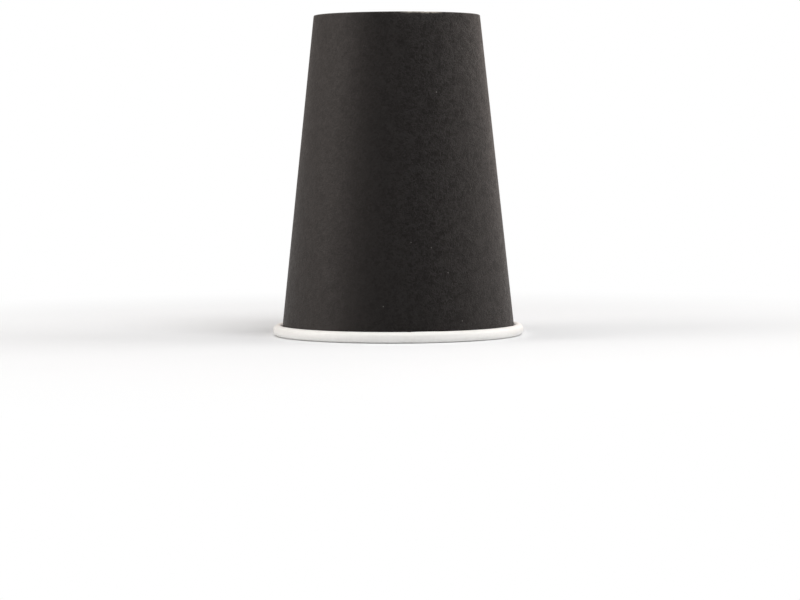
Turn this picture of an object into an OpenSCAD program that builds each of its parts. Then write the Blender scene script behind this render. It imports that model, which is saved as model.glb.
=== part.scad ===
// Hot drink cup of printed paperboard, stood upside down on its rolled rim.
// Built as the real one is: a fan-shaped sidewall blank wrapped into a cone and glued
// along a lap seam, its wide end curled outwards into the rim and its narrow end folded
// inwards round the skirt of a separate bottom disc.

/* [Cup] */
// Width over the rolled rim
rim_d = 90; // [70:0.5:110]
// Width over the foot, where the wall's line meets the standing plane
foot_d = 59.5; // [45:0.5:75]
// Height over all, rim to foot
cup_h = 114.5; // [80:0.5:180]

/* [Board] */
// Thickness of the sidewall board
wall_t = 0.35; // [0.25:0.01:0.6]
// Thickness of the bottom disc's board
disc_t = 0.3; // [0.2:0.01:0.5]
// Sealed film between two layers that are bonded together
bond = 0.02; // [0.01:0.01:0.1]

/* [Rolled rim] */
// Width of the roll, measured across the wall
roll_w = 3.5; // [2.4:0.1:5]
// Height of the roll, measured along the wall
roll_h = 3.9; // [2.4:0.1:6]
// Gap between one turn of the roll and the next
roll_gap = 0.05; // [0.03:0.01:0.2]

/* [Lap seam] */
// Width of the lap, where the blank's two ends overlap
lap_w = 8; // [5:0.5:14]
// Direction of the lap's middle, seen from above
lap_dir = -78.9; // [-180:0.1:180]
// How much the roll swells where it has two layers
lap_swell = 0.15; // [0:0.01:0.4]
// Distance in which the outer end comes down beside the inner end's edge
lap_run = 5; // [3:0.5:9]

/* [Foot] */
// Depth from the foot to the drink side of the bottom disc
recess_h = 9.5; // [6:0.5:14]
// Height of the hem folded inwards round the disc's skirt
hem_h = 7; // [4:0.5:10]
// How far the forming tool presses the fold's crest flat
foot_press = 0.06; // [0.02:0.01:0.15]
// Inside radius of the bend between the disc and its skirt
disc_bend_r = 0.5; // [0.3:0.1:1.5]

/* [Show] */
// Which piece is drawn

/* [Hidden] */
$fn = 180;
cut = 1;
bend_steps = 10;
board_black = [0.07, 0.065, 0.062];
board_white = [0.93, 0.92, 0.89];

// The wall's frame: its origin is the middle of the roll's lower turn, x runs across the
// wall to the outside and y along it towards the foot. The wall leans so that its outer
// face meets the foot's width at the standing plane.
roll_r = roll_w / 2;
roll_straight = roll_h - roll_w;
roll_x = rim_d / 2 - roll_r;
to_foot = [roll_x - foot_d / 2, cup_h - roll_r];
lean = atan2(to_foot[0], to_foot[1]) - asin((roll_r - wall_t) / norm(to_foot));

// The fold goes round the skirt, and its crest is pressed flat at the standing plane.
fold_ri = disc_t / 2 + bond;
fold_x = -roll_r - fold_ri;
fold_z = cup_h + foot_press - fold_ri - wall_t;
wall_len = (fold_z - roll_r - sin(lean) * fold_x) / cos(lean);

// The disc's bend, found from the skirt's outer face and the disc's height.
bend_ro = disc_bend_r + disc_t;
bend_x = -roll_r - bond - bend_ro;
bend_z = cup_h - recess_h + bend_ro;
bend_y = (bend_z - roll_r - sin(lean) * bend_x) / cos(lean);

// Radius of the wall's outer face round the seam, at a distance along the wall.
function face_r(y) = (roll_x - sin(lean) * y) / cos(lean) - roll_r + wall_t;
// How far that face falls away at a distance w to the side.
function fall(y, w) = face_r(y) - sqrt(pow(face_r(y), 2) - pow(w, 2));

// One quarter of a bent strip of board: 0 is up and out, then round by quarters.
module quarter(r, t, q) {
    intersection() {
        difference() {
            circle(r);
            circle(r - t);
        }
        rotate(90 * q) square(r + cut);
    }
}

module in_wall_frame() {
    translate([roll_x, roll_r]) rotate(lean) children();
}

// Section of the sidewall where it has this many layers: wall, roll, fold and hem.
module sidewall_section(layers) {
    t = layers * wall_t;
    swell = (layers - 1) * lap_swell / 2;
    r = roll_r + swell;
    r_in = r - t - layers * roll_gap;
    tuck_y = roll_straight + r - r_in;

    intersection() {
        in_wall_frame() {
            translate([swell, swell]) {
                // the outer turn
                quarter(r, t, 2);
                quarter(r, t, 3);
                translate([r - t, 0]) square([t, roll_straight]);
                translate([0, roll_straight]) quarter(r, t, 0);
                // the end tucked in behind the wall
                translate([0, tuck_y]) quarter(r_in, t, 1);
                translate([-r_in, 0]) square([t, tuck_y]);
                quarter(r_in, t, 2);
            }
            translate([-roll_r, swell]) square([t, wall_len - swell]);
            translate([fold_x, wall_len]) {
                quarter(fold_ri + t, t, 0);
                quarter(fold_ri + t, t, 1);
                translate([-fold_ri - t, -hem_h]) square([t, hem_h]);
            }
        }
        square([rim_d, cup_h]);
    }
}

// Section of the bottom disc: flat disc, bend and skirt, drawn round the bend's middle.
module disc_section() {
    turn = 90 + lean;
    function arc(r, a, b) = [for (i = [0:bend_steps]) r * [cos(a + (b - a) * i / bend_steps), sin(a + (b - a) * i / bend_steps)]];
    inward = foot_d / 2 * [-cos(lean), sin(lean)];
    outer = arc(bend_ro, -turn, 0);
    inner = arc(disc_bend_r, 0, -turn);
    intersection() {
        in_wall_frame() translate([bend_x, bend_y]) polygon(concat(
            [outer[0] + inward], outer, [[bend_ro, wall_len - bend_y], [disc_bend_r, wall_len - bend_y]],
            inner, [inner[bend_steps] + inward]
        ));
        square([rim_d, cup_h]);
    }
}

module at_seam() {
    rotate([0, 0, lap_dir]) children();
}

module lap_band() {
    at_seam() translate([0, -lap_w / 2, -cut]) cube([rim_d, lap_w, cup_h + 2 * cut]);
}

// The blank's outer end coming down beside the inner end's edge: its slope runs from the
// lap's corner to just under the wall's face, and its back is buried in the wall.
module run_down() {
    y0 = roll_h - roll_r;
    y1 = wall_len - 1;
    a = -lap_w / 2;
    b = a - lap_run;
    face = wall_t - roll_r;
    function corner(y) = face + wall_t - 0.01 - fall(y, a);
    function toe(y) = face - 0.05 - fall(y, b);
    function back(y, w) = face - wall_t / 2 - fall(y, w);
    at_seam() translate([roll_x, 0, roll_r]) rotate([0, -lean, 0]) polyhedron(
        points = [for (y = [y0, y1]) each [
            [corner(y), a + cut, y], [toe(y), b, y], [back(y, b), b, y], [back(y, a), a + cut, y]
        ]],
        faces = [[0, 1, 2, 3], [7, 6, 5, 4], [0, 4, 5, 1], [1, 5, 6, 2], [2, 6, 7, 3], [3, 7, 4, 0]]
    );
}

module sidewall() {
    color(board_black) union() {
        difference() {
            union() {
                rotate_extrude() sidewall_section(1);
                run_down();
            }
            lap_band();
        }
        intersection() {
            rotate_extrude() sidewall_section(2);
            lap_band();
        }
    }
}

module bottom_disc() {
    color(board_white) rotate_extrude() disc_section();
}

sidewall();
bottom_disc();
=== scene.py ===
# A paper cup standing upside down on its rolled rim, photographed from the side.
import bpy
from math import atan2, asin, cos, hypot, radians, sin
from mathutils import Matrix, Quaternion, Vector


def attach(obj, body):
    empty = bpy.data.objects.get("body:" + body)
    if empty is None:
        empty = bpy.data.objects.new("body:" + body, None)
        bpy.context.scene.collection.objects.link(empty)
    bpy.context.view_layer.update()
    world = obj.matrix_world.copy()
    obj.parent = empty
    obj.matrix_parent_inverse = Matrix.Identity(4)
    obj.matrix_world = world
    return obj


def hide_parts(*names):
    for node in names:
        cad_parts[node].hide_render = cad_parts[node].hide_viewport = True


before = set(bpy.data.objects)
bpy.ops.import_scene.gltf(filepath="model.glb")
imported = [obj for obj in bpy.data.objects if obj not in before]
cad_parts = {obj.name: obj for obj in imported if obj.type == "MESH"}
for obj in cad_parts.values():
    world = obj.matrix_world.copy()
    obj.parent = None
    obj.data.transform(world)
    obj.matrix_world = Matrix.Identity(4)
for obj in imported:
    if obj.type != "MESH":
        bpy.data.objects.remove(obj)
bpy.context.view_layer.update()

# Sizes in metres, as in the part's source
RIM_D, FOOT_D, CUP_H = 0.090, 0.0595, 0.1145
WALL_T, DISC_T, BOND = 0.00035, 0.0003, 0.00002
ROLL_W, ROLL_H, ROLL_GAP = 0.0035, 0.0039, 0.00005
LAP_W, LAP_DIR, LAP_SWELL, LAP_RUN = 0.008, radians(-78.9), 0.00015, 0.005
HEM_H, FOOT_PRESS = 0.007, 0.00006
# In the roll and the fold the lap's two layers are squeezed thin, so that the step there is small
SQUEEZE, LAP_STEP = 0.55, 0.0016

# The wall's frame starts at the middle of the roll's lower turn and leans with the wall
ROLL_R = ROLL_W / 2
ROLL_STRAIGHT = ROLL_H - ROLL_W
ROLL_X = RIM_D / 2 - ROLL_R
ACROSS, UP = ROLL_X - FOOT_D / 2, CUP_H - ROLL_R
LEAN = atan2(ACROSS, UP) - asin((ROLL_R - WALL_T) / hypot(ACROSS, UP))
FOLD_RI = DISC_T / 2 + BOND
FOLD_X = -ROLL_R - FOLD_RI
FOLD_Z = CUP_H + FOOT_PRESS - FOLD_RI - WALL_T
WALL_LEN = (FOLD_Z - ROLL_R - sin(LEAN) * FOLD_X) / cos(LEAN)
R_IN = ROLL_R - WALL_T - ROLL_GAP
TUCK_Y = ROLL_STRAIGHT + ROLL_R - R_IN

# The blank is spun in steps, this many degrees past the lap's middle at each end, and then cut to the lap
SPIN_STEPS, SPARE = 272, 24
HALF_LAP = LAP_W / 2
LAP_SIDE = Vector((-sin(LAP_DIR), cos(LAP_DIR), 0))


# Materials
class Sock:
    """A shader socket that takes part in Python arithmetic."""

    def __init__(self, owner, link):
        self.owner, self.link = owner, link

    def _op(self, op, a, b=None):
        return self.owner.node("ShaderNodeMath", {"operation": op}, {0: a, 1: b})

    def __add__(self, o):
        return self._op("ADD", self, o)

    def __radd__(self, o):
        return self._op("ADD", o, self)

    def __sub__(self, o):
        return self._op("SUBTRACT", self, o)

    def __rsub__(self, o):
        return self._op("SUBTRACT", o, self)

    def __mul__(self, o):
        return self._op("MULTIPLY", self, o)

    def __rmul__(self, o):
        return self._op("MULTIPLY", o, self)

    def __pow__(self, o):
        return self._op("POWER", self, o)

    def __abs__(self):
        return self._op("ABSOLUTE", self)

    def over(self, o):
        return self._op("GREATER_THAN", self, o)

    def under(self, o):
        return self._op("LESS_THAN", self, o)

    def most(self, o):
        return self._op("MAXIMUM", self, o)

    def sine(self):
        return self._op("SINE", self)


class Nodes:
    """A node tree that grows by one call for each node."""

    def __init__(self, tree):
        self.tree = tree

    def node(self, kind, settings, inputs, out=0):
        n = self.tree.nodes.new(kind)
        for key, value in settings.items():
            setattr(n, key, value)
        for key, value in inputs.items():
            if value is not None:
                self.feed(n.inputs[key], value)
        return Sock(self, n.outputs[out])

    def feed(self, sock, value):
        if isinstance(value, Sock):
            self.tree.links.new(value.link, sock)
        else:
            sock.default_value = value

    def place(self):
        return self.node("ShaderNodeTexCoord", {}, {}, "Object")

    def part(self, vector):
        n = self.tree.nodes.new("ShaderNodeSeparateXYZ")
        self.feed(n.inputs[0], vector)
        return [Sock(self, o) for o in n.outputs]

    def noise(self, where, scale, detail=3.0, rough=0.5, distort=0.0):
        return self.node("ShaderNodeTexNoise", {}, {
            "Vector": where, "Scale": scale, "Detail": detail, "Roughness": rough, "Distortion": distort})

    def ramp(self, value, lo, hi, a=0.0, b=1.0):
        """A smooth slope from a, where the value is lo or less, to b, where it is hi or more."""
        return self.node("ShaderNodeMapRange", {"clamp": True, "interpolation_type": "SMOOTHSTEP"}, {
            "Value": value, "From Min": lo, "From Max": hi, "To Min": a, "To Max": b})

    def mix(self, factor, a, b):
        return self.node("ShaderNodeMix", {"data_type": "RGBA"}, {0: factor, 6: a, 7: b}, 2)

    def bump(self, height, strength, distance, under=None):
        return self.node("ShaderNodeBump", {}, {
            "Height": height, "Strength": strength, "Distance": distance, "Normal": under})

    def ray(self, kind):
        return self.node("ShaderNodeLightPath", {}, {}, kind)


class Material(Nodes):
    """A material that ends in one Principled shader."""

    def __init__(self, name):
        self.data = bpy.data.materials.new(name)
        self.data.use_nodes = True
        super().__init__(self.data.node_tree)
        self.shader = self.tree.nodes["Principled BSDF"]

    def set(self, **values):
        for key, value in values.items():
            self.feed(self.shader.inputs[key.replace("_", " ")], value)
        return self.data


def rgb(r, g, b):
    return (r, g, b, 1.0)


WHITE = rgb(1, 1, 1)
INK_THICK, INK_THIN = rgb(0.0002, 0.0002, 0.0002), rgb(0.0068, 0.0065, 0.0066)
SHEEN_TINT = rgb(1.0, 0.945, 0.925)
LINT_GREY, SPECK_GREY, WORN_BOARD = rgb(0.24, 0.23, 0.22), rgb(0.30, 0.29, 0.27), rgb(0.56, 0.52, 0.46)
BOARD_DULL, BOARD_BRIGHT = rgb(0.83, 0.822, 0.80), rgb(0.87, 0.863, 0.843)
CORE_DULL, CORE_BRIGHT = rgb(0.52, 0.46, 0.38), rgb(0.72, 0.66, 0.57)
FLOOR_DULL, FLOOR_BRIGHT = rgb(0.82, 0.83, 0.845), rgb(0.84, 0.85, 0.865)

# Bits of lint caught in the print: place across the front of the cup and height, in metres
LINT = (
    (0.0136, 0.0865),
    (0.0174, 0.0239),
    (0.0223, 0.0071),
    (-0.0051, 0.0126),
    (0.0116, 0.0327),
    (0.0046, 0.0346),
)
LINT_CORE, LINT_EDGE, LINT_FRAY, LINT_COVER = 0.00008, 0.00024, 0.0004, 0.55

# Wear on the fold's crest: the heights where it starts and is full, and how much it frays
WEAR_FROM, WEAR_FULL, FRAY = CUP_H - 0.0007, CUP_H + 0.0001, 0.0006
# Its strength all round, and what the lap has more
WEAR_ROUND, WEAR_LAP = 0.04, 0.75
# The rubbed stretch of the lap: its middle's place beside the lap's own, where it fades and ends, its fray
RUB_ASIDE, RUB_FADE, RUB_END, RUB_FRAY = 0.003, 0.0042, 0.0088, 0.006
# It is on the crest's outer edge only, between these distances from the cup's middle line
RUB_IN, RUB_OUT = FOOT_D / 2 - 0.0009, FOOT_D / 2 - 0.0003
# Pressing marks round the hem: their number, how far in the hem lies, and how far past its edge they show
HEM_MARKS, HEM_IN, MARKS_PAST = 96, 0.0007, 0.002


def black_print():
    m = Material("matte_black_print")
    at = m.place()
    x, y, z = m.part(at)
    radius = (x * x + y * y) ** 0.5
    across = x * -sin(LAP_DIR) + y * cos(LAP_DIR)
    front = x * cos(LAP_DIR) + y * sin(LAP_DIR)
    clouds = m.noise(at, 300, 3, 0.6, 0.4)
    fibres = m.noise(at, 920, 4, 0.7, 1.2)
    pores = m.noise(at, 2400, 2, 0.5)
    # the print lies thin over the board's fibres; how strongly the mottle shows across the cup is painted
    # side light: strongest just right of the middle, about at the lap, and less to both sides of it, least
    # on the left
    tone = m.ramp(fibres * 0.7 + clouds * 0.3, 0.36, 0.66)
    side_light_grade = m.ramp(x, -0.018, 0.006, 0.55, 1.5) - m.ramp(x, 0.014, 0.032, 0.0, 0.75)
    # painted side light: the ink's colour mottle is graded across the cup as light raking from the right
    # would show it
    mottle_and_side_light = (tone - 0.5) * side_light_grade
    ink = m.mix(0.5 + mottle_and_side_light, INK_THICK, INK_THIN)
    for lint_x, lint_z in LINT:
        away = ((x - lint_x) ** 2 + (z - lint_z) ** 2) ** 0.5 + (pores - 0.5) * LINT_FRAY
        lint = m.ramp(away, LINT_CORE, LINT_EDGE, LINT_COVER, 0.0) * y.under(0)
        ink = m.mix(lint, ink, LINT_GREY)
    specks = m.ramp(m.noise(at, 1500, 1, 0.4), 0.80, 0.86) * m.ramp(m.noise(at, 120, 1, 0.5), 0.56, 0.66)
    ink = m.mix(specks * 0.4, ink, SPECK_GREY)
    # the crest of the fold is a little worn, most of all where the lap stands proud
    fray = (fibres - 0.5) * FRAY + (clouds - 0.5) * FRAY
    worn = m.ramp(z + fray, WEAR_FROM, WEAR_FULL)
    at_lap = m.ramp(abs(across - RUB_ASIDE) + (clouds - 0.5) * RUB_FRAY, RUB_FADE, RUB_END, 1.0, 0.0)
    rubbed = at_lap * m.ramp(radius + fray, RUB_IN, RUB_OUT) * front.over(0) * WEAR_LAP
    ink = m.mix(worn * (WEAR_ROUND + rubbed), ink, WORN_BOARD)
    # pressing marks of the roller on the folded hem
    turn = m.node("ShaderNodeMath", {"operation": "ARCTAN2"}, {0: y, 1: x})
    on_hem = radius.under(FOOT_D / 2 - HEM_IN + (CUP_H - z) * sin(LEAN))
    marks = ((turn * HEM_MARKS).sine() * 0.5 + 0.5) * on_hem * z.over(CUP_H - HEM_H - MARKS_PAST)
    grain = m.bump((fibres * 0.55 + clouds * 0.15 + pores * 0.3) * side_light_grade, 0.6, 0.0006)
    relief = m.bump(marks, 0.5, 0.00025, grain)
    return m.set(Base_Color=ink, Roughness=0.52 - mottle_and_side_light * 0.26, Normal=relief,
                 Specular_IOR_Level=0.21, Specular_Tint=SHEEN_TINT)


def white_board(name, film):
    """White board whose film has this roughness and up to 0.1 more."""
    m = Material(name)
    at = m.place()
    fibres = m.noise(at, 700, 4, 0.6, 0.5)
    clouds = m.noise(at, 150, 3, 0.5)
    body = fibres * 0.5 + clouds * 0.5
    paper = m.mix(m.ramp(body, 0.36, 0.64), BOARD_DULL, BOARD_BRIGHT)
    return m.set(Base_Color=paper, Roughness=m.ramp(clouds, 0.3, 0.7, film, film + 0.1),
                 Normal=m.bump(body, 0.25, 0.00008), Specular_IOR_Level=0.45)


def raw_edge():
    m = Material("raw_board_edge")
    fibres = m.noise(m.place(), 2500, 4, 0.6)
    core = m.mix(m.ramp(fibres, 0.35, 0.65), CORE_DULL, CORE_BRIGHT)
    return m.set(Base_Color=core, Roughness=0.9, Normal=m.bump(fibres, 0.5, 0.00008),
                 Specular_IOR_Level=0.2)


def floor_paper():
    """Paper under the cup, which keeps its shadow and goes over into plain white further out."""
    m = Material("studio_floor")
    at = m.place()
    x, y, _ = m.part(at)
    paper = m.mix(m.ramp(m.noise(at, 4, 2, 0.5), 0.3, 0.7), FLOOR_DULL, FLOOR_BRIGHT)
    m.set(Base_Color=paper, Roughness=0.9, Specular_IOR_Level=0.1)
    white = m.node("ShaderNodeEmission", {}, {"Color": WHITE, "Strength": 1.0})
    away = m.ramp((x * x + y * y) ** 0.5, 0.10, 0.30)
    seen = m.ray("Is Camera Ray").most(m.ray("Is Glossy Ray")).most(m.ray("Is Transmission Ray"))
    sweep = m.node("ShaderNodeMixShader", {}, {0: away * seen, 1: Sock(m, m.shader.outputs[0]), 2: white})
    m.feed(m.tree.nodes["Material Output"].inputs[0], sweep)
    return m.data


# The sidewall
def place(across, along):
    """Radius and height of a point given across and along the wall."""
    return (ROLL_X + cos(LEAN) * across - sin(LEAN) * along,
            ROLL_R + sin(LEAN) * across + cos(LEAN) * along)


def arc(cx, cy, r, a, b, n):
    """Points round a middle, from a to b degrees in n steps."""
    return [(cx + r * cos(radians(a + (b - a) * i / n)), cy + r * sin(radians(a + (b - a) * i / n)))
            for i in range(n + 1)]


def blank_profile():
    """The blank's white face in section, from the hem to the tucked end, with the name of each stretch."""
    out = []

    def add(name, points):
        for p in points:
            if not out or hypot(out[-1][0] - p[0], out[-1][1] - p[1]) > 1e-6:
                out.append((p[0], p[1], name))

    hem_x = FOLD_X - FOLD_RI
    add("hem", [(hem_x, WALL_LEN - HEM_H + HEM_H * i / 4) for i in range(4)])
    add("fold", arc(FOLD_X, WALL_LEN, FOLD_RI, 180, 0, 8))
    # the wall's own points keep 1 mm off the fold
    top, low = WALL_LEN - 0.001, ROLL_H
    add("wall", [(-ROLL_R, top + (low - top) * i / 16) for i in range(17)])
    add("roll", arc(0, 0, ROLL_R, 180, 360, 18))
    add("roll", arc(0, ROLL_STRAIGHT, ROLL_R, 0, 90, 9))
    add("tuck", arc(0, TUCK_Y, R_IN, 90, 180, 6)[1:])
    add("tuck", arc(0, 0, R_IN, 180, 270, 5))
    return out


def select(obj, verts):
    """Selects these vertices and nothing else; leaves the object in edit mode."""
    if bpy.context.mode != "OBJECT":
        bpy.ops.object.mode_set(mode="OBJECT")
    bpy.ops.object.select_all(action="DESELECT")
    obj.select_set(True)
    bpy.context.view_layer.objects.active = obj
    bpy.ops.object.mode_set(mode="EDIT")
    bpy.ops.mesh.select_mode(type="VERT")
    bpy.ops.mesh.select_all(action="DESELECT")
    bpy.ops.object.mode_set(mode="OBJECT")
    for v in verts:
        obj.data.vertices[v].select = True
    bpy.ops.object.mode_set(mode="EDIT")


def apply(obj, name, kind, **settings):
    mod = obj.modifiers.new(name, kind)
    for key, value in settings.items():
        setattr(mod, key, value)
    bpy.context.view_layer.objects.active = obj
    bpy.ops.object.modifier_apply(modifier=mod.name)


def dress(obj, *mats):
    obj.data.materials.clear()
    for m in mats:
        obj.data.materials.append(m)


def rise(v, lo, hi):
    """A smooth slope from 0 at lo to 1 at hi."""
    t = max(0.0, min(1.0, (v - lo) / (hi - lo)))
    return t * t * (3 - 2 * t)


def spin_blank(profile):
    """Draws the profile point by point at the blank's inner end, and spins it round the cup."""
    start = LAP_DIR - radians(SPARE)
    here = []
    for across, along, _ in profile:
        r, z = place(across, along)
        here.append(Vector((r * cos(start), r * sin(start), z)))

    bpy.ops.object.select_all(action="DESELECT")
    bpy.ops.mesh.primitive_plane_add(size=0.001)
    obj = bpy.context.object
    obj.name = obj.data.name = "cup_sidewall"
    bpy.ops.object.mode_set(mode="EDIT")
    bpy.ops.mesh.select_all(action="SELECT")
    bpy.ops.mesh.merge(type="CENTER")
    bpy.ops.transform.translate(value=here[0])
    for at, to in zip(here, here[1:]):
        bpy.ops.mesh.extrude_region_move(TRANSFORM_OT_translate={"value": to - at})
    bpy.ops.object.mode_set(mode="OBJECT")

    # each point's place in the profile is kept as a weight, which the spin copies
    count = len(profile)
    order = obj.vertex_groups.new(name="order")
    for v in obj.data.vertices:
        i = min(range(count), key=lambda j: (here[j] - v.co).length)
        order.add([v.index], (i + 1) / count, "REPLACE")
    bpy.ops.object.mode_set(mode="EDIT")
    bpy.ops.mesh.select_all(action="SELECT")
    bpy.ops.mesh.spin(steps=SPIN_STEPS, angle=-radians(360 + 2 * SPARE), center=(0, 0, 0), axis=(0, 0, 1),
                      use_auto_merge=False)
    bpy.ops.object.mode_set(mode="OBJECT")
    assert len(obj.data.vertices) == count * (SPIN_STEPS + 1)
    return obj


def weigh_lap(obj, profile):
    """Groups that say how far each point is moved and thinned at the lap, and which end it is on."""
    names = ("lap", "squeeze", "swell", "outer_end", "inner_end")
    lap, squeeze, swell, outer_end, inner_end = [obj.vertex_groups.new(name=n) for n in names]
    count = len(profile)
    rolls = [j for j, p in enumerate(profile) if p[2] == "roll"]
    first_roll, last_roll = rolls[0], rolls[-1]
    layer, thin = WALL_T + BOND, SQUEEZE * WALL_T + BOND

    for v in obj.data.vertices:
        step, i = v.index // count, round(v.groups[0].weight * count) - 1
        name = profile[i][2]
        w = v.co.dot(LAP_SIDE)
        outer = step > SPIN_STEPS * 0.75
        inner = step < SPIN_STEPS * 0.25
        # the outer end climbs slowly on the wall, and in a short step where the layers are squeezed
        over = near = 0.0
        if outer:
            over = rise(w, -HALF_LAP - LAP_RUN, -HALF_LAP)
            near = rise(w, -HALF_LAP - LAP_STEP, -HALF_LAP)
        elif inner:
            near = 1 - rise(w, HALF_LAP, HALF_LAP + LAP_STEP)
        tight = 1.0 if name in ("hem", "fold") else rise(i, first_roll - 1, first_roll + 6)
        ride = near * (thin - LAP_SWELL if name == "roll" else thin) if outer else 0.0
        lap.add([v.index], ((1 - tight) * over * layer + tight * ride) / layer, "REPLACE")
        squeeze.add([v.index], tight * near, "REPLACE")
        # under the outer end the roll swells outwards a little, less at the very edge
        if name == "roll" and inner:
            k = rise(i, first_roll + 6, first_roll + 13) * (1 - rise(i, last_roll - 3, last_roll + 1))
            edge = 0.3 + 0.7 * rise(w, -HALF_LAP, -HALF_LAP + LAP_STEP)
            swell.add([v.index], near * edge * k, "REPLACE")
        if outer:
            outer_end.add([v.index], 1.0, "REPLACE")
        if inner:
            inner_end.add([v.index], 1.0, "REPLACE")
    return layer, outer_end, inner_end


def make_sidewall(*boards):
    profile = blank_profile()
    obj = spin_blank(profile)
    layer, outer_end, inner_end = weigh_lap(obj, profile)

    # the blank's two straight ends, cut so that the lap keeps one width
    for group, edge, before in ((outer_end, HALF_LAP, True), (inner_end, -HALF_LAP, False)):
        select(obj, [v.index for v in obj.data.vertices if any(g.group == group.index for g in v.groups)])
        bpy.ops.mesh.bisect(plane_co=LAP_SIDE * edge, plane_no=LAP_SIDE,
                            clear_inner=not before, clear_outer=before)
    bpy.ops.object.mode_set(mode="OBJECT")

    # the printed side faces out of the cup, as the faces half way up the wall tell
    wall = [f for f in obj.data.polygons if 0.03 < f.center.z < 0.09]
    outwards = sum(f.normal.dot(Vector((f.center.x, f.center.y, 0)).normalized()) for f in wall)
    if outwards < 0:
        select(obj, [v.index for v in obj.data.vertices])
        bpy.ops.mesh.flip_normals()
        bpy.ops.object.mode_set(mode="OBJECT")

    apply(obj, "ride_over", "DISPLACE", vertex_group="lap", strength=layer, mid_level=0.0)
    apply(obj, "roll_swell", "DISPLACE", vertex_group="swell", strength=-LAP_SWELL, mid_level=0.0)
    dress(obj, *boards)
    apply(obj, "board", "SOLIDIFY", thickness=WALL_T, offset=1.0, use_even_offset=True,
          vertex_group="squeeze", invert_vertex_group=True, thickness_vertex_group=SQUEEZE,
          material_offset=1, material_offset_rim=2)
    obj.vertex_groups.clear()

    # the forming tool leaves the crest flat
    select(obj, [v.index for v in obj.data.vertices if v.co.z > CUP_H])
    bpy.ops.transform.resize(value=(1, 1, 0), center_override=(0, 0, CUP_H))
    select(obj, [])
    bpy.ops.object.mode_set(mode="OBJECT")
    bpy.ops.object.shade_smooth_by_angle(angle=radians(35))
    return obj


sidewall = make_sidewall(black_print(), white_board("white_film_board", 0.36), raw_edge())
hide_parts("sidewall")
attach(sidewall, "root")

dress(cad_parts["bottom_disc"], white_board("white_disc_board", 0.42))

# Floor, lamps and surroundings
bpy.ops.object.select_all(action="DESELECT")
bpy.ops.mesh.primitive_plane_add(size=6, location=(0, 0, 0))
floor = bpy.context.object
floor.name = "studio_floor"
floor.data.materials.append(floor_paper())

LAMP_AIM = Vector((0, 0, 0.06))


def softbox(name, at, size, power, colour=(1, 1, 1)):
    data = bpy.data.lights.new(name, "AREA")
    data.shape = "RECTANGLE"
    data.size, data.size_y = size
    data.energy, data.color = power, colour
    obj = bpy.data.objects.new(name, data)
    bpy.context.scene.collection.objects.link(obj)
    obj.location = at
    obj.rotation_euler = (LAMP_AIM - Vector(at)).to_track_quat("-Z", "Y").to_euler()


softbox("overhead_softbox", (0.0, -0.10, 1.1), (0.9, 0.9), 3.0)
softbox("front_softbox", (0.40, -0.65, 1.10), (0.8, 0.5), 8.1)
softbox("left_softbox", (-0.96, -0.26, 0.40), (0.6, 0.8), 4.2, (1.0, 0.975, 0.95))
softbox("right_softbox", (0.95, 0.06, 0.50), (0.6, 0.8), 3.4, (1.0, 0.985, 0.97))

# The surroundings are dark in front, which keeps the middle of the black wall dark, and are dimmed behind,
# most of all on the left
DARK_FRONT, DARK_LEVEL = (-0.85, -0.05), 0.015
BACK, BACK_SIDES, DIM_LEFT, DIM_RIGHT = (0.4, 0.85), (-0.5, 0.3), 0.66, 0.16
# Their strength as plain light, in reflections, and in a patch at the front left that only reflections show
AMBIENT, SHEEN, LEFT_SHEEN = 0.46, 1.5, 1.0
PATCH_FRONT, PATCH_BACK, PATCH_SIDE = (-0.9, -0.4), (-0.1, 0.4), (-0.7, -0.2)
WARM_FILL, WARM_SHEEN = rgb(1.04, 1.0, 0.955), rgb(1.14, 1.0, 0.92)


def studio_world():
    """White on every side for the camera; the light itself comes from the sides and the back."""
    world = bpy.data.worlds.new("studio")
    world.use_nodes = True
    n = Nodes(world.node_tree)
    x, y, _ = n.part(n.node("ShaderNodeTexCoord", {}, {}, "Generated"))
    lit = n.ramp(y, *DARK_FRONT, DARK_LEVEL, 1.0)
    lit = lit * (1 - n.ramp(y, *BACK) * n.ramp(x, *BACK_SIDES, DIM_LEFT, DIM_RIGHT))
    seen = n.ray("Is Camera Ray").most(n.ray("Is Transmission Ray"))
    gloss = n.ray("Is Glossy Ray")
    patch = n.ramp(y, *PATCH_FRONT) * n.ramp(y, *PATCH_BACK, LEFT_SHEEN, 0.0)
    patch = patch * n.ramp(x, *PATCH_SIDE, 1.0, 0.0)
    level = lit * (gloss * SHEEN + (1 - gloss) * AMBIENT) + gloss * patch
    warm = n.mix(gloss, WARM_FILL, WARM_SHEEN)
    background = n.tree.nodes["Background"].inputs
    n.feed(background["Strength"], seen + (1 - seen) * level)
    n.feed(background["Color"], n.mix(seen, warm, WHITE))
    return world


bpy.context.scene.world = studio_world()

# Camera: the lens, distance and height that fit the photograph's outline of the cup
LENS, SENSOR = 119.78, 36.0
DISTANCE, HEIGHT, ASIDE = 0.9572, 0.0688, 0.00067
PITCH, ROLL = radians(3.370), radians(0.27)
cam_data = bpy.data.cameras.new("photo_view")
cam_data.lens, cam_data.sensor_width = LENS, SENSOR
camera = bpy.data.objects.new("photo_view", cam_data)
bpy.context.scene.collection.objects.link(camera)
camera.location = (ASIDE, -DISTANCE, HEIGHT)
camera.rotation_mode = "QUATERNION"
look = Vector((0, cos(PITCH), -sin(PITCH)))
camera.rotation_quaternion = look.to_track_quat("-Z", "Y") @ Quaternion((0, 0, 1), -ROLL)
bpy.context.scene.camera = camera
bpy.context.scene.view_settings.view_transform = "Standard"
